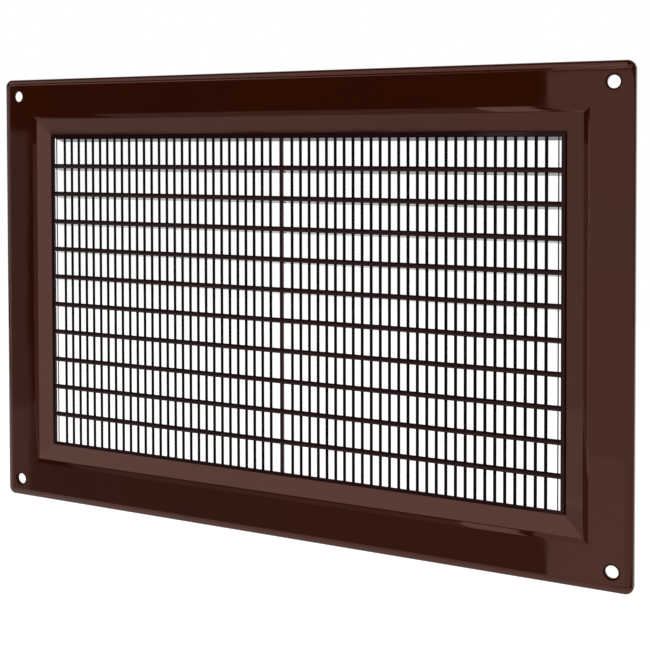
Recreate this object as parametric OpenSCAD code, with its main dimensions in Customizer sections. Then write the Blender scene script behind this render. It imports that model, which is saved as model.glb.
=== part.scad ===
// Wall ventilation grille with a bevelled opening in a flat plate and a fine slatted grid.
// The front faces -Y, X runs along the length and Z is up. Y = 0 is the flange's rear face,
// where the screw holes end. Heights named "level" are measured forwards from the wall plane,
// which lies behind it.

/* [Plate] */
// Overall length of the mounting plate
plate_w = 300; // [260:1:360]
// Overall height of the mounting plate
plate_h = 200; // [180:1:260]
// Depth of the flange from the wall plane to its front face
flange_d = 3; // [2.8:0.1:4]
// Thickness of the moulded walls
wall = 1.5; // [1.3:0.1:1.8]
// Radius of the plate's corners, seen from the front
corner_r = 3.4; // [3.4:0.1:6]
// Radius at the outer end of the rolled edge
edge_r = 1.2; // [0.8:0.1:1.3]
// Width of the wide arc in which the flange starts to roll over
roll_w = 2; // [1:0.1:2]

/* [Bevel] */
// Distance from the plate's edges to the bend between flange and bevel
crest_inset = 18; // [17:0.1:20]
// Radius of the bend
bend_r = 5.5; // [3:0.1:7]
// Distance from the plate's edges to the inner end of the bevel
bevel_inset = 26.45; // [25.8:0.05:27]
// How far the inner end of the bevel lies behind the flange's front face
bevel_sink = 2.3; // [2:0.1:2.4]
// Thickness of the bevel at its inner end
bevel_t = 0.8; // [0.7:0.1:1]

/* [Screw holes] */
// Distance from the plate's edges to the centre of each hole
hole_inset = 8; // [7:0.1:9]
// Diameter of the holes
hole_d = 5; // [3.5:0.1:5.5]
// Width of the chamfer round each hole at the front
hole_chamfer = 0.4; // [0.2:0.1:0.6]

/* [Back] */
// Wall of the collar that enters the wall opening
collar_t = 1.8; // [1.2:0.1:2]
// How far the collar reaches behind the wall plane
collar_d = 6; // [6:0.5:12]
// Thickness of the stiffening ribs
rib_t = 1.2; // [0.8:0.1:2]
// Clear space between the ribs and the wall plane
rib_clear = 0.3; // [0.1:0.1:0.6]
// Distance between ribs
rib_pitch = 46; // [30:1:60]

/* [Grid border] */
// Width of the lip round the grid
lip_w = 1.6; // [1.45:0.05:2.4]
// How far the grid's front lies behind the flange's front face
grid_sink = 1.6; // [1.5:0.1:1.8]
// Thickness of the lip and of the slats' noses in front of the bars
nose_d = 0.6; // [0.5:0.1:0.7]
// Thickness of the border's outer flange, which seats behind the bevel
border_flange_t = 0.7; // [0.6:0.1:1]
// Width of the rebate behind the bevel that takes the border
rebate_w = 1.6; // [1.4:0.1:1.8]
// Width of the frame's rim round the rebate
rim_t = 1.2; // [1:0.1:1.4]
// Space behind the lip for the ends of the uprights
channel_w = 0.8; // [0.7:0.05:0.85]
// Length of the slats' tenons in the border's side walls
tenon_l = 0.5; // [0.4:0.1:0.5]

/* [Slats] */
// Thickness of a slat at its round nose
slat_t = 2.2; // [1.7:0.05:2.4]
// Thickness of a slat at its rear edge
slat_rear_t = 1.6; // [1:0.1:1.8]
// Depth of a slat from front to back
slat_d = 7.1; // [5:0.1:7.2]
// Angle at which a slat falls towards the back
slat_tilt = 15; // [8:1:18]

/* [Stile and bars] */
// Width of the centre stile
stile_w = 1.4; // [1.2:0.1:2]
// Depth of the centre stile
stile_d = 1.8; // [1.4:0.1:2.2]
// Width of an upright bar
bar_w = 1.35; // [0.9:0.05:1.4]
// Depth of an upright bar, whose sides are round
bar_d = 0.5; // [0.4:0.05:0.55]
// Distance from one bar to the next
bar_pitch = 4.1; // [3.6:0.001:5]
// Distance from the middle of the grille to the nearest bars
bar_first = 5.23; // [4:0.01:6]
// Least distance from the last full bar to the opening's edge
bar_last = 4.5; // [4:0.1:5]
// Clear space between the thin round bar at each end and the opening's edge
end_bar_gap = 1; // [0.7:0.1:1.4]
// Depth of the combs' rails behind the upper lip
comb_rail_d = 1.2; // [0.9:0.1:1.4]
// Clearance between pieces that slide together
fit = 0.1; // [0.05:0.05:0.15]

/* [Hidden] */
$fn = 64;
cut = 1;
frame_colour = [0.27, 0.13, 0.1];
grid_colour = [0.2, 0.09, 0.08];
bar_colour = [0.13, 0.07, 0.06];

// Half sizes across X and up Z
plate = [plate_w / 2, plate_h / 2];
crest = plate - [crest_inset, crest_inset];
bevel_end = plate - [bevel_inset, bevel_inset];
opening = bevel_end - [lip_w, lip_w];
channel = opening + [channel_w, channel_w];
rebate = bevel_end + [rebate_w, rebate_w];
rim = rebate + [rim_t, rim_t];
collar_out = crest;
collar_mid = collar_out - [collar_t, collar_t] / 2;
collar_in = collar_out - [collar_t, collar_t];
hole_at = plate - [hole_inset, hole_inset];

// Levels in front of the wall plane
bevel_level = flange_d - bevel_sink;
grid_level = flange_d - grid_sink;
seat_level = grid_level - nose_d;
back_level = flange_d - wall;
rebate_level = bevel_level - bevel_t;
border_level = rebate_level - border_flange_t;
rear_level = grid_level - slat_d;

slat_count = 10;
slat_pitch = 2 * opening[1] / (slat_count + 1);
half_bars = floor((opening[0] - bar_first - bar_last) / bar_pitch) + 1;
bar_at = [for (i = [0 : half_bars - 1]) bar_first + i * bar_pitch];
end_bar_at = opening[0] - end_bar_gap - bar_d / 2;

// The rolled edge: a wide arc turns the flange by this angle, then a small one ends it
roll_angle = 25;
roll_r = edge_r + roll_w / sin(roll_angle);
// Angle at which the bend starts from the flange
bend_start = 2;

// Middle of a slat's nose and of its rear edge as [z, level], and its directions
slat_nose = [0, grid_level - slat_t / 2];
slat_rear = [-(slat_nose[1] - rear_level) * tan(slat_tilt), rear_level];
slat_across = [cos(slat_tilt), -sin(slat_tilt)];
slat_ahead = [sin(slat_tilt), cos(slat_tilt)];

// Height of slat number n, counted from the top
function slat_z(n) = ((slat_count + 1) / 2 - n) * slat_pitch;

// Moves a piece drawn on the wall plane so that the flange's rear face comes to Y = 0
module placed() {
    translate([0, back_level, 0]) children();
}

// A profile drawn as [x, level] runs along Z
module along_z(length) {
    rotate([180, 0, 0]) linear_extrude(height = length, center = true) children();
}

// A profile drawn as [z, level] runs along X
module along_x(length) {
    rotate(a = 180, v = [1, 0, 1]) linear_extrude(height = length, center = true) children();
}

// An outline drawn as [x, z] stands between two levels
module between(low, high) {
    translate([0, -low, 0]) rotate([90, 0, 0]) linear_extrude(height = high - low) children();
}

// Two profiles, one across X and one up Z, meet at mitred corners
module mitred() {
    intersection() {
        along_z(2 * plate[1] + cut) children(0);
        along_x(2 * plate[0] + cut) children(1);
    }
}

// Rectangle about the middle, given by its half sizes, with round corners
module outline(half, r) {
    square([2 * half[0], 2 * (half[1] - r)], center = true);
    square([2 * (half[0] - r), 2 * half[1]], center = true);
    for (x = [-1, 1], z = [-1, 1]) translate([x * (half[0] - r), z * (half[1] - r)]) circle(r);
}

module box_outline(half) {
    square(2 * half, center = true);
}

// Section of the rolled edge from the corner's axis outwards
module edge_section() {
    side = [sin(roll_angle), cos(roll_angle)];
    edge_axis = [corner_r - edge_r, flange_d - roll_r + (roll_r - edge_r) * cos(roll_angle)];
    roll_axis = edge_axis - (roll_r - edge_r) * side;
    meet = edge_axis + edge_r * side;
    polygon([[0, 0], [corner_r, 0], [corner_r, edge_axis[1]], edge_axis, meet,
             [roll_axis[0], flange_d], [0, flange_d]]);
    intersection() {
        translate(edge_axis) circle(edge_r);
        polygon([edge_axis, edge_axis + [2 * edge_r, 0], edge_axis + 2 * edge_r * side]);
    }
    intersection() {
        translate(roll_axis) circle(roll_r);
        polygon([[roll_axis[0], flange_d], [roll_axis[0], flange_d + cut], meet + [0, cut], meet]);
    }
}

// Mounting plate with rolled edges and round corners
module plate_body() {
    inner = plate - [corner_r, corner_r];
    between(0, flange_d) box_outline(inner);
    for (side = [0, 180]) {
        rotate([0, side, 0]) translate([inner[0], 0, 0]) along_z(2 * inner[1]) edge_section();
        rotate([0, side, 0]) translate([0, 0, inner[1]]) along_x(2 * inner[0]) edge_section();
    }
    for (x = [-1, 1], z = [-1, 1]) translate([x * inner[0], 0, z * inner[1]])
        rotate([90, 0, 0]) rotate_extrude() edge_section();
}

// What the bend, the bevel and the opening leave free across one direction
module recess_section(top, end) {
    angle = atan(bevel_sink / (top - end));
    rise = cos(bend_start) - cos(angle);
    axis = [top + bend_r * (sin(angle) - rise / tan(angle)), flange_d - bend_r * cos(bend_start)];
    start = axis + bend_r * [-sin(bend_start), cos(bend_start)];
    finish = axis + bend_r * [-sin(angle), cos(angle)];
    high = flange_d + cut;
    low = -collar_d - cut;
    for (side = [0, 1]) mirror([side, 0]) {
        polygon([[-cut, low], [end, low], [end, bevel_level], finish, [finish[0], high], [-cut, high]]);
        difference() {
            polygon([finish, start, [start[0], high], [finish[0], high]]);
            translate(axis) circle(bend_r);
        }
    }
}

// Opening and underside of the bevel across one direction
module skin_section(top, end) {
    high = flange_d + cut;
    low = -collar_d - cut;
    polygon([[-top, high], [-top, back_level], [-end, bevel_level - wall], [-end, low],
             [end, low], [end, bevel_level - wall], [top, back_level], [top, high]]);
}

// Hollow behind the bevel, between the collar and the rim round the rebate
module bevel_hollow() {
    difference() {
        between(-cut, back_level) box_outline(collar_in);
        mitred() {
            skin_section(crest[0], bevel_end[0]);
            skin_section(crest[1], bevel_end[1]);
        }
        between(-2 * cut, flange_d) box_outline(rim);
    }
}

// Hollow behind the flange, between the collar and the skirt
module flange_hollow() {
    difference() {
        between(-cut, back_level) outline(plate - [wall, wall], corner_r - wall);
        between(-2 * cut, flange_d) box_outline(collar_mid);
    }
}

// Ribs behind the flange between the collar and the skirt
module back_ribs() {
    skirt_mid = plate - [wall, wall] / 2;
    length = skirt_mid - collar_mid;
    high = back_level + wall / 2;
    for (x = [rib_pitch / 2 : rib_pitch : collar_in[0]], side = [0, 180], half = [0, 1])
        rotate([0, side, 0]) mirror([half, 0, 0]) between(rib_clear, high)
            translate([x - rib_t / 2, collar_mid[1]]) square([rib_t, length[1]]);
    for (z = [rib_pitch / 2 : rib_pitch : collar_in[1]], side = [0, 180], half = [0, 1])
        rotate([0, side, 0]) mirror([0, 0, half]) between(rib_clear, high)
            translate([collar_mid[0], z - rib_t / 2]) square([length[0], rib_t]);
}

// Places a child on the axis of each screw hole, standing forwards from the wall plane
module at_holes() {
    for (x = [-1, 1], z = [-1, 1])
        translate([x * hole_at[0], 0, z * hole_at[1]]) rotate([90, 0, 0]) children();
}

// Flange, bevel, collar and ribs, moulded in one
module front_frame() {
    color(frame_colour) placed() difference() {
        union() {
            difference() {
                union() {
                    plate_body();
                    between(border_level, bevel_level) box_outline(rim);
                }
                mitred() {
                    recess_section(crest[0], bevel_end[0]);
                    recess_section(crest[1], bevel_end[1]);
                }
                between(-collar_d, rebate_level) box_outline(rebate);
                bevel_hollow();
                flange_hollow();
            }
            between(-collar_d, back_level + wall / 2) difference() {
                outline(collar_out, collar_t);
                box_outline(collar_in);
            }
            back_ribs();
        }
        at_holes() {
            translate([0, 0, -cut]) cylinder(d = hole_d, h = flange_d + 2 * cut);
            translate([0, 0, flange_d - hole_chamfer])
                cylinder(d1 = hole_d, d2 = hole_d + 4 * hole_chamfer, h = 2 * hole_chamfer);
        }
    }
}

// Section of a slat's blade as [z, level], from a front point to the slat's rear edge
module blade_section(front, front_t, rear_t) {
    polygon([front + front_t / 2 * slat_across, front - front_t / 2 * slat_across,
             slat_rear - rear_t / 2 * slat_across, slat_rear + rear_t / 2 * slat_across]);
}

// Section of a slat: a round nose and a blade that falls to the back
module slat_section() {
    translate(slat_nose) circle(slat_t / 2);
    blade_section(slat_nose, slat_t, slat_rear_t);
}

// Mortises in the border's side walls, open to the back, for the slats' tenons
module slat_mortises() {
    mortise_t = slat_t + 2 * fit;
    intersection() {
        for (n = [1 : slat_count]) translate([0, 0, slat_z(n)]) along_x(2 * (channel[0] + tenon_l + fit))
            blade_section(slat_nose + slat_t / 2 * slat_ahead, mortise_t, mortise_t);
        between(rear_level, seat_level) box_outline(plate);
    }
}

// Section of the blade behind the upper lip as [z, level]; it falls like the slats
module hood_section() {
    front_level = seat_level - comb_rail_d - fit;
    under = opening[1] - (seat_level - front_level) * tan(slat_tilt);
    rear = opening[1] - (seat_level - rear_level) * tan(slat_tilt);
    root = (channel[1] + rebate[1]) / 2;
    polygon([[under, front_level], [rear, rear_level], [rear + slat_rear_t, rear_level],
             [root, border_level], [root, front_level]]);
}

// Lip round the grid, the flange that seats in the frame's rebate and the upper blade
module grid_border() {
    color(grid_colour) placed() {
        difference() {
            union() {
                between(border_level, grid_level) box_outline(bevel_end - [fit, fit]);
                between(border_level, rebate_level) box_outline(rebate - [fit, fit]);
            }
            between(seat_level - cut, grid_level + cut) box_outline(opening);
            between(border_level - cut, seat_level) box_outline(channel);
            slat_mortises();
        }
        along_x(2 * (opening[0] + fit)) hood_section();
    }
}

// Hole behind the nose of a slat for a bar of a given width
module bar_hole(x, width) {
    translate([x - width / 2 - fit, -seat_level, -slat_t])
        cube([width + 2 * fit, bar_d + fit, 2 * slat_t]);
}

// One slat with its tenons, a hole for each bar and a slot for the stile
module slat(n) {
    end_l = channel_w + tenon_l;
    color(grid_colour) placed() translate([0, 0, slat_z(n)]) difference() {
        along_x(2 * (opening[0] + end_l)) slat_section();
        for (side = [-1, 1]) {
            translate([side * (opening[0] + end_l), -seat_level - cut, 0])
                cube([2 * end_l, 2 * cut, 2 * slat_t], center = true);
            for (x = bar_at) bar_hole(side * x, bar_w);
            bar_hole(side * end_bar_at, bar_d);
        }
        translate([-stile_w / 2 - fit, -seat_level, -slat_d])
            cube([stile_w + 2 * fit, slat_d, 2 * slat_d]);
    }
}

// Centre stile, halved over every slat, with a tenon behind the lip at each end
module centre_stile() {
    nose_r = stile_w / 2;
    notch_low = slat_t / 2 + nose_d * tan(slat_tilt) + fit;
    notch_high = slat_t / 2 + fit;
    color(grid_colour) placed() difference() {
        union() {
            along_z(2 * opening[1]) {
                translate([-nose_r, grid_level - stile_d]) square([stile_w, stile_d - nose_r]);
                translate([0, grid_level - nose_r]) circle(nose_r);
            }
            between(grid_level - stile_d, seat_level) square([stile_w, 2 * channel[1]], center = true);
        }
        for (n = [1 : slat_count]) translate([-stile_w, -grid_level - cut, slat_z(n) - notch_low])
            cube([2 * stile_w, nose_d + cut, notch_low + notch_high]);
    }
}

// A section becomes an upright that ends behind the upper and lower lips
module upright(x) {
    translate([x, 0, 0]) along_z(2 * (channel[1] - fit)) translate([0, seat_level - bar_d / 2])
        children();
}

// Section of a round-sided bar
module bar_section() {
    square([bar_w - bar_d, bar_d], center = true);
    for (side = [-1, 1]) translate([side * (bar_w - bar_d) / 2, 0]) circle(bar_d / 2);
}

// Upright bars of one half and the thin round one at its end, joined by a rail behind the upper lip
module bar_comb() {
    rail_from = stile_w / 2 + fit;
    color(bar_colour) placed() {
        between(seat_level - comb_rail_d, seat_level) translate([rail_from, opening[1] + fit])
            square([opening[0] - fit - rail_from, channel_w - 2 * fit]);
        for (x = bar_at) upright(x) bar_section();
        upright(end_bar_at) circle(bar_d / 2);
    }
}

module right_bar_comb() {
    bar_comb();
}

module left_bar_comb() {
    mirror([1, 0, 0]) bar_comb();
}

front_frame();
grid_border();
centre_stile();
left_bar_comb();
right_bar_comb();
slat(1);  // slat_01
slat(2);  // slat_02
slat(3);  // slat_03
slat(4);  // slat_04
slat(5);  // slat_05
slat(6);  // slat_06
slat(7);  // slat_07
slat(8);  // slat_08
slat(9);  // slat_09
slat(10);  // slat_10
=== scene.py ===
import math

import bmesh
import bpy
import numpy as np
from mathutils import Matrix, Vector


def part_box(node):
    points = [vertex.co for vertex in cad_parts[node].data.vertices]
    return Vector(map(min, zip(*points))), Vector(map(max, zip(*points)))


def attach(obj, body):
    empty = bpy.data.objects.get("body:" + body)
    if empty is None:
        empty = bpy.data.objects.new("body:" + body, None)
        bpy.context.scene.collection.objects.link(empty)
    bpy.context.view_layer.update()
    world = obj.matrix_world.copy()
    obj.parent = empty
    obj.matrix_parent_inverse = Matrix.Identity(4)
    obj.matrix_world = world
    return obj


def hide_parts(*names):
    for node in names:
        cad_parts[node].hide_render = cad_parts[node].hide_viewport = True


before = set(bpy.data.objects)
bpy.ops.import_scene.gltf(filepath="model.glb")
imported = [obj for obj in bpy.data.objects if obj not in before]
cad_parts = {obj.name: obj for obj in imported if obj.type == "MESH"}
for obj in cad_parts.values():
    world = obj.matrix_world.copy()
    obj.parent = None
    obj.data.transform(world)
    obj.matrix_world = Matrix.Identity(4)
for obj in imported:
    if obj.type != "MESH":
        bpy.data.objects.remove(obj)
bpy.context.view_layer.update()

# Front frame: the flange, the bevel round the opening, the skirt, the collar and the ribs.
# The real one is dark brown polystyrene, moulded in one shot in a polished mould,
# and four wall screws hold it by its corners.
mm = 0.001
frame_brown = "#2c0b02"
frame_brown_deep = "#240902"
frame_roughness = (0.02, 0.045)
gloss_tint = (1.0, 0.56, 0.46, 1.0)  # the gloss carries some of the pigment's red
shade_size = 60 * mm       # patches in which the pigment is a little deeper
haze_size = 9 * mm         # patches that are a little less polished
sink_size = 38 * mm        # shallow waves left by shrinkage
sink_depth = 0.05 * mm
grain_size = 1.1 * mm      # finest unevenness of the polish, coarse enough to show
grain_depth = 0.0004 * mm
plastic_ior = 1.54
plate = [abs(c) for c in (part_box("front_frame")[1].x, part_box("front_frame")[1].z)]  # half width and height
rolled_edge = 2 * mm       # how far the roll of the plate's edge reaches in
hole_inset = 8 * mm        # from the plate's edges to the axis of a screw hole
rim_radius = 3.2 * mm
rim_fade = 0.1 * mm        # half the width over which the shine changes
rim_shine = 0.05
bend_at = 18 * mm          # from the plate's edges
bend_r = 10 * mm
bend_lines = 9
bevel_run = 8.45 * mm
bevel_drop = 2.3 * mm
weld = 0.001 * mm          # points nearer than this are one
frame_corner = 14          # degrees; faces that meet at less than this are one curve


def linear(hex_colour):
    """sRGB hex to linear red, green, blue and alpha.

    Up to 0.04045 it is a straight line, and above that a power of 2.4.
    """
    srgb = [int(hex_colour[i:i + 2], 16) / 255 for i in (1, 3, 5)]
    return [c / 12.92 if c <= 0.04045 else ((c + 0.055) / 1.055) ** 2.4 for c in srgb] + [1.0]


def add_node(tree, kind, links=(), **settings):
    """Adds a node with its settings, which are properties or else sockets, and with the links it takes."""
    made = tree.nodes.new(kind)
    for name, value in settings.items():
        if hasattr(made, name):
            setattr(made, name, value)
        else:
            made.inputs[name.replace("_", " ")].default_value = value
    for socket, source in dict(links).items():
        tree.links.new(source, made.inputs[socket])
    return made


def moulded_plastic(name, colours, roughness, sinks, grain):
    """Moulded plastic whose colour and polish vary between two values in soft patches.

    The height is a sum of two noises: wide sink marks and a fine grain, each a size and a depth in metres.
    """
    noise_low, noise_high = 0.3, 0.7  # a noise seldom goes past these
    material = bpy.data.materials.new(name)
    material.use_nodes = True
    tree = material.node_tree
    shader = tree.nodes["Principled BSDF"]
    place = add_node(tree, "ShaderNodeTexCoord").outputs["Object"]
    shade = add_node(tree, "ShaderNodeTexNoise", {"Vector": place}, Scale=1 / shade_size, Detail=3.0)
    tint = add_node(tree, "ShaderNodeMix", {"Factor": shade.outputs["Fac"]}, data_type="RGBA")
    tint.inputs["A"].default_value, tint.inputs["B"].default_value = map(linear, colours)
    haze = add_node(tree, "ShaderNodeTexNoise", {"Vector": place}, Scale=1 / haze_size, Detail=4.0)
    polish = add_node(tree, "ShaderNodeMapRange", {"Value": haze.outputs["Fac"]},
                      From_Min=noise_low, From_Max=noise_high, To_Min=roughness[0], To_Max=roughness[1])
    bump = None
    for size, depth in (sinks, grain):
        waves = add_node(tree, "ShaderNodeTexNoise", {"Vector": place}, Scale=1 / size, Detail=1.0)
        links = {"Height": waves.outputs["Fac"]}
        if bump:
            links["Normal"] = bump.outputs["Normal"]
        bump = add_node(tree, "ShaderNodeBump", links, Distance=depth)
    for socket, source in (("Base Color", tint.outputs["Result"]), ("Roughness", polish.outputs["Result"]),
                           ("Normal", bump.outputs["Normal"])):
        tree.links.new(source, shader.inputs[socket])
    shader.inputs["IOR"].default_value = plastic_ior
    return material, shader


def smooth_arcs(mesh, corner):
    """Gives the facets of an arc smooth normals and leaves the flats plain.

    Each corner of a face takes the mean normal of the faces that meet there at less than the given angle
    in degrees. A face weighs by its angle at the corner times the square of the area of its flat, which is
    all the faces with the same normal and the same distance from the origin.
    """
    tiny = 1e-15           # keeps a face without area from dividing by zero
    lone_share = 1e-30     # lets a corner that has no weight at all keep its own normal
    flat_step = 0.01 * mm  # flats whose distances differ by less are the same
    points = np.empty(len(mesh.vertices) * 3)
    mesh.vertices.foreach_get("co", points)
    points = points.reshape(-1, 3)
    corners = np.empty(len(mesh.polygons) * 3, np.int32)
    mesh.loops.foreach_get("vertex_index", corners)
    triangles = points[corners].reshape(-1, 3, 3)
    normals = np.cross(triangles[:, 1] - triangles[:, 0], triangles[:, 2] - triangles[:, 0])
    areas = np.linalg.norm(normals, axis=1)
    normals /= np.maximum(areas, tiny)[:, None]

    # The area of the flat that each face belongs to, and the angle of each face at its corners.
    distances = np.einsum("ij,ij->i", normals, triangles[:, 0])
    planes = np.column_stack([normals.round(3), (distances / flat_step).round()])
    flat = np.unique(planes, axis=0, return_inverse=True)[1].ravel()
    flat_area = np.bincount(flat, areas)[flat]
    sides = np.roll(triangles, -1, axis=1) - triangles
    sides /= np.maximum(np.linalg.norm(sides, axis=2, keepdims=True), tiny)
    cosines = -np.einsum("ijk,ijk->ij", sides, np.roll(sides, 1, axis=1))
    angles = np.arccos(np.clip(cosines, -1, 1)).ravel()

    # Every pair of corners that lie at one place: own is the one, and other is the one that it meets.
    place = np.unique((points[corners] / weld).round(), axis=0, return_inverse=True)[1].ravel()
    order = np.argsort(place, kind="stable")
    sizes = np.bincount(place)
    starts = np.cumsum(sizes) - sizes
    own = np.repeat(np.arange(len(corners)), sizes[place])
    step = np.arange(len(own)) - np.repeat(np.cumsum(sizes[place]) - sizes[place], sizes[place])
    other = order[starts[place[own]] + step]

    cosines = np.einsum("ij,ij->i", normals[own // 3], normals[other // 3])
    alike = cosines > math.cos(math.radians(corner))
    weights = alike * angles[other] * (flat_area[other // 3] / flat_area.max()) ** 2
    weights += lone_share * (own == other)
    mean = np.column_stack([np.bincount(own, weights * normals[other // 3, k]) for k in range(3)])
    mean /= np.linalg.norm(mean, axis=1, keepdims=True)
    mesh.shade_smooth()
    mesh.normals_split_custom_set(mean.tolist())


def dress(piece, material):
    """Gives a piece its material, in a slot of its own."""
    piece.data.materials.clear()
    piece.data.materials.append(material)


def soften_bend(mesh):
    """Draws the bend between the flange and the bevel as one wide arc, as in the real moulding.

    The arc is tangent to the flange and to the bevel, which meet at bend_at from the plate's edges. Its
    depth behind the flange at a distance s from its start is r - sqrt(r * r - s * s). The faces
    are first cut along lines that run round the plate inside the arc.
    """
    slope = math.atan2(bevel_drop, bevel_run)
    start = bend_at - bend_r * math.tan(slope / 2)
    end = start + bend_r * math.sin(slope)
    facing_lens = -0.9     # a normal's Y below this looks forwards
    slack = 0.01 * mm
    shape = bmesh.new()
    shape.from_mesh(mesh)
    bmesh.ops.remove_doubles(shape, verts=shape.verts, dist=weld)
    front_y = min(v.co.y for v in shape.verts)
    deepest_y = front_y + bevel_drop + slack

    def inset(point):
        return min(plate[0] - abs(point.x), plate[1] - abs(point.z))

    def on_front(face):
        in_depth = all(v.co.y < deepest_y for v in face.verts)
        return face.normal.y < facing_lens and in_depth and inset(face.calc_center_median()) > rolled_edge

    for line in np.linspace(start, end, bend_lines):
        for axis, side in ((0, 1), (0, -1), (2, 1), (2, -1)):
            faces = [f for f in shape.faces if on_front(f)]
            edges = list({e for f in faces for e in f.edges})
            points = list({v for f in faces for v in f.verts})
            outward = Vector([side if k == axis else 0 for k in range(3)])
            from_middle = plate[0 if axis == 0 else 1] - line
            bmesh.ops.bisect_plane(shape, geom=faces + edges + points,
                                   plane_co=outward * from_middle, plane_no=outward)
    for vertex in {v for f in shape.faces if on_front(f) for v in f.verts}:
        s = inset(vertex.co) - start
        if 0 < s <= end - start:
            vertex.co.y = front_y + bend_r - math.sqrt(bend_r * bend_r - s * s)
    bmesh.ops.triangulate(shape, faces=shape.faces)
    shape.to_mesh(mesh)
    shape.free()


def painted_hole_rim_shade(tree, shader):
    """Takes the shine off the rim of each screw hole, so that it shows as a dark ring: painted shade for the
    shade on the hole's chamfer and wall.

    The holes lie alike in the four quarters of the plate, so a point's place without its signs is measured
    from one axis. The shine goes from rim_shine to full where its distance along X and Z passes rim_radius.
    """
    place = add_node(tree, "ShaderNodeTexCoord").outputs["Object"]
    quarter = add_node(tree, "ShaderNodeVectorMath", {0: place}, operation="ABSOLUTE")
    from_hole = add_node(tree, "ShaderNodeVectorMath", {0: quarter.outputs[0]}, operation="SUBTRACT")
    from_hole.inputs[1].default_value = (plate[0] - hole_inset, 0, plate[1] - hole_inset)
    flat = add_node(tree, "ShaderNodeVectorMath", {0: from_hole.outputs[0]}, operation="MULTIPLY")
    flat.inputs[1].default_value = (1, 0, 1)
    from_axis = add_node(tree, "ShaderNodeVectorMath", {0: flat.outputs[0]}, operation="LENGTH")
    full_shine = shader.inputs["Specular IOR Level"].default_value
    shine = add_node(tree, "ShaderNodeMapRange", {"Value": from_axis.outputs["Value"]},
                     From_Min=rim_radius - rim_fade, From_Max=rim_radius + rim_fade,
                     To_Min=rim_shine, To_Max=full_shine)
    tree.links.new(shine.outputs["Result"], shader.inputs["Specular IOR Level"])


# The polished mould gives the eye a deep, warm gloss that mirrors the lamps with barely softened edges.
frame_plastic, frame_shader = moulded_plastic("frame_polystyrene", (frame_brown, frame_brown_deep),
                                              frame_roughness, (sink_size, sink_depth),
                                              (grain_size, grain_depth))
frame_shader.inputs["Specular Tint"].default_value = gloss_tint
# The rims of the screw holes hold painted shade: their shine is taken off to show the shade on each hole's
# chamfer and wall.
painted_hole_rim_shade(frame_plastic.node_tree, frame_shader)
# A copy of the node is drawn in its place, because its bend is widened and its normals are smoothed.
frame_moulding = bpy.data.objects.new("frame_moulding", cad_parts["front_frame"].data.copy())
bpy.context.scene.collection.objects.link(frame_moulding)
soften_bend(frame_moulding.data)
smooth_arcs(frame_moulding.data, frame_corner)
dress(frame_moulding, frame_plastic)
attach(frame_moulding, "root")
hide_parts("front_frame")

# Grid border, slats and centre stile: the lip that seats behind the bevel, and the members that it carries.
# They are polystyrene in a redder and duller brown than the frame's. The slats sit in mortises in
# the border's sides, and the stile is halved over them.
grid_brown = "#1d080b"
grid_brown_deep = "#16060a"
grid_roughness = (0.07, 0.12)
grid_sinks = (12 * mm, 0.004 * mm)
grid_shine = 0.15
grid_skin = 0.08           # the smooth skin of the moulding, which shines most at a grazing look
grid_skin_roughness = 0.06
member_corner = 50         # degrees; faces that meet at less than this are one curve
larger_faces_first = 100   # the weight at which the larger faces set a shared normal

# The duller mould gives the eye a dark red-brown with little shine, but for its skin at grazing angles.
grid_plastic, grid_shader = moulded_plastic("grid_polystyrene", (grid_brown, grid_brown_deep),
                                            grid_roughness, grid_sinks, (grain_size, grain_depth))
grid_shader.inputs["Specular Tint"].default_value = gloss_tint
grid_shader.inputs["Specular IOR Level"].default_value = grid_shine
grid_shader.inputs["Coat Weight"].default_value = grid_skin
grid_shader.inputs["Coat Roughness"].default_value = grid_skin_roughness
slats = [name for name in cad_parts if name.startswith("slat_")]


def dress_member(name, material):
    """Gives a node of the grid its material and its slot, and smooth normals on its arcs.

    Faces that meet at less than member_corner share a normal, in which the larger of them weighs more.
    """
    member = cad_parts[name]
    dress(member, material)
    member.data.shade_smooth()
    member.modifiers.new("join_facets", "WELD").merge_threshold = weld
    member.modifiers.new("keep_corners", "EDGE_SPLIT").split_angle = math.radians(member_corner)
    member.modifiers.new("smooth_arcs", "WEIGHTED_NORMAL").weight = larger_faces_first


for name in ["grid_border", "centre_stile"] + slats:
    dress_member(name, grid_plastic)

# Bar combs: thin uprights behind the slats' noses, in a left and a right half.
# Each half is moulded in one with its rail, which lies behind the upper lip, in polystyrene.
# Its near-black colour is painted shade, for the shade that falls on the bars behind the slats.
bar_painted_shade = "#060404"
bar_painted_shade_deep = "#040303"
bar_roughness = (0.4, 0.5)
bar_sinks = (8 * mm, 0.002 * mm)
bar_shine = 0.05

# The bars are matt, and their near-black colour is painted shade, so that the eye sees plain dark lines
# against the light.
bar_plastic, bar_shader = moulded_plastic("bar_polystyrene_painted_shade", (bar_painted_shade, bar_painted_shade_deep),
                                          bar_roughness, bar_sinks, (grain_size, grain_depth))
bar_shader.inputs["Specular IOR Level"].default_value = bar_shine
for name in ["left_bar_comb", "right_bar_comb"]:
    dress_member(name, bar_plastic)

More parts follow.
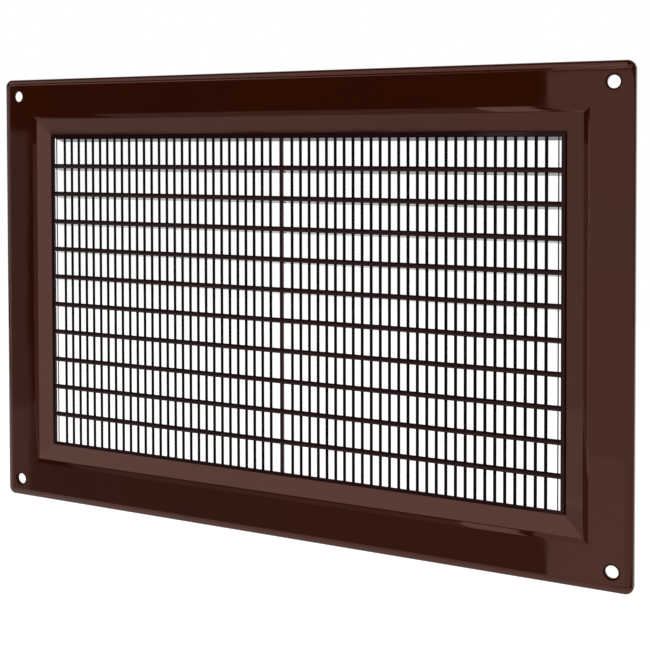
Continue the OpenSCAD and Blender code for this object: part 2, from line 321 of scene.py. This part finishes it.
# Floor: a sheet of pale studio paper, well below the grille, which hangs free.
# In front it ends where the floor panels start, and only the faces that lean down mirror it.
floor_level = -1.2
floor_front, floor_back, floor_side = -2.19, 8.0, 8.0
paper_white = "#e8e8e8"
paper_glow = 0.5           # added for the lens and the gloss alone, so that the paper shows white
floor = bpy.data.objects.new("floor", bpy.data.meshes.new("floor"))
floor.data.from_pydata([(-floor_side, floor_front, floor_level), (floor_side, floor_front, floor_level),
                        (floor_side, floor_back, floor_level), (-floor_side, floor_back, floor_level)],
                       [], [(0, 1, 2, 3)])
bpy.context.scene.collection.objects.link(floor)
paper = bpy.data.materials.new("studio_paper")
paper.use_nodes = True
tree = paper.node_tree
tree.nodes.clear()
rays = add_node(tree, "ShaderNodeLightPath")
lens_or_gloss = add_node(tree, "ShaderNodeMath", operation="MAXIMUM",
                         links={0: rays.outputs["Is Camera Ray"], 1: rays.outputs["Is Glossy Ray"]})
share = add_node(tree, "ShaderNodeMath", {0: lens_or_gloss.outputs[0]}, operation="MULTIPLY")
share.inputs[1].default_value = paper_glow
matt = add_node(tree, "ShaderNodeBsdfDiffuse", Color=linear(paper_white))
glow = add_node(tree, "ShaderNodeEmission", {"Strength": share.outputs[0]})
both = add_node(tree, "ShaderNodeAddShader", {0: matt.outputs[0], 1: glow.outputs[0]})
add_node(tree, "ShaderNodeOutputMaterial", {"Surface": both.outputs[0]})
floor.data.materials.append(paper)

# Backdrop: the lens sees plain white all round, and the gloss sees it behind the grille.
# The room in front of the grille is dim, so that the gloss shows the soft panels alone.
fill_light = 0.72
dim_room = 0.03
white = (1, 1, 1, 1)
studio = bpy.data.worlds.new("studio")
bpy.context.scene.world = studio
studio.use_nodes = True
tree = studio.node_tree
tree.nodes.clear()
rays = add_node(tree, "ShaderNodeLightPath")
toward = add_node(tree, "ShaderNodeTexCoord")
axes = add_node(tree, "ShaderNodeSeparateXYZ", {"Vector": toward.outputs["Generated"]})
behind = add_node(tree, "ShaderNodeMath", {0: axes.outputs["Y"]}, operation="GREATER_THAN")
behind.inputs[1].default_value = 0.0
gloss = add_node(tree, "ShaderNodeMix", {"Factor": behind.outputs[0]}, data_type="RGBA")
gloss.inputs["A"].default_value = (dim_room, dim_room, dim_room, 1)
gloss.inputs["B"].default_value = white
fill_or_gloss = add_node(tree, "ShaderNodeMix", {"Factor": rays.outputs["Is Glossy Ray"]}, data_type="RGBA")
tree.links.new(gloss.outputs["Result"], fill_or_gloss.inputs["B"])
fill_or_gloss.inputs["A"].default_value = (fill_light, fill_light, fill_light, 1)
seen = add_node(tree, "ShaderNodeMix", {"Factor": rays.outputs["Is Camera Ray"]}, data_type="RGBA")
tree.links.new(fill_or_gloss.outputs["Result"], seen.inputs["A"])
seen.inputs["B"].default_value = white
background = add_node(tree, "ShaderNodeBackground", {"Color": seen.outputs["Result"]})
add_node(tree, "ShaderNodeOutputWorld", {"Surface": background.outputs[0]})


def soft_panel(name, left, right, bottom, top, radiance):
    """A flat lamp that faces the grille.

    Left and right are its ends along X, and bottom and top are the (y, z) of its lower and upper edges,
    all in metres. Its power is pi times its area times its radiance. The lens doesn't see it.
    """
    low, high = Vector((0, *bottom)), Vector((0, *top))
    up = (high - low).normalized()
    across = Vector((1, 0, 0))
    lamp = bpy.data.lights.new(name, "AREA")
    lamp.shape = "RECTANGLE"
    lamp.size, lamp.size_y = right - left, (high - low).length
    lamp.energy = math.pi * lamp.size * lamp.size_y * radiance
    panel = bpy.data.objects.new(name, lamp)
    middle = (low + high) / 2 + Vector(((left + right) / 2, 0, 0))
    turn = Matrix((across, up, across.cross(up))).transposed()
    panel.matrix_world = Matrix.Translation(middle) @ turn.to_4x4()
    panel.visible_camera = False
    bpy.context.scene.collection.objects.link(panel)


# Soft panels: one above and a lower one far in front light the faces that lean up, and two on the floor
# light those that lean down and, dimly, the lowest flat ones. A bright and a dim one stand far to the
# left, and four stand a metre behind the camera.
soft_panel("overhead_panel", -2.4, 0.0, (-1.5, 0.78), (-1.1, 1.15), 1.3)
soft_panel("far_front_panel", -3.8, -0.5, (-4.0, 0.62), (-4.0, 0.93), 1.65)
soft_panel("floor_panel", -3.6, -0.4, (-2.212, -1.19), (-2.65, -1.19), 1.0)
soft_panel("dim_floor_panel", -3.6, -0.4, (-2.65, -1.19), (-4.3, -1.19), 0.2)
soft_panel("far_left_panel", -30.0, -4.6, (-5.0, -2.2), (-5.0, 1.8), 0.93)
soft_panel("dim_left_panel", -4.6, -4.42, (-5.0, -2.2), (-5.0, 0.15), 0.35)
soft_panel("right_strip", -0.31, 3.0, (-1.5, -0.7), (-1.5, 0.19), 0.88)
soft_panel("corner_panel", -0.31, 0.8, (-1.5, 0.27), (-1.5, 1.0), 1.0)
soft_panel("left_strip", -0.43, -0.335, (-1.5, -0.49), (-1.5, 0.112), 1.65)
soft_panel("dim_strip", -1.25, -0.43, (-1.5, -0.49), (-1.5, 0.07), 0.4)

# View: from the right of the grille's middle and a little above it, with the lens
# shifted down so that the grille's uprights stay parallel.
view_from = Vector((0.2424, -0.4429, 0.0686))
view_along = Vector((-0.4463, 0.8945, -0.0270)).normalized()
view_up = Vector((-0.0103, 0.0250, 0.9996))
image_width = 650
focal_px = 1183
centre_row = 177
camera = bpy.data.objects.new("camera", bpy.data.cameras.new("camera"))
camera.data.lens = camera.data.sensor_width * focal_px / image_width
camera.data.shift_y = (centre_row - image_width / 2) / image_width
camera.data.clip_start = 0.01
view_right = view_along.cross(view_up).normalized()
axes_seen = Matrix((view_right, view_right.cross(view_along), -view_along)).transposed()
camera.matrix_world = Matrix.Translation(view_from) @ axes_seen.to_4x4()
bpy.context.scene.collection.objects.link(camera)
bpy.context.scene.camera = camera
bpy.context.scene.view_settings.view_transform = "Standard"
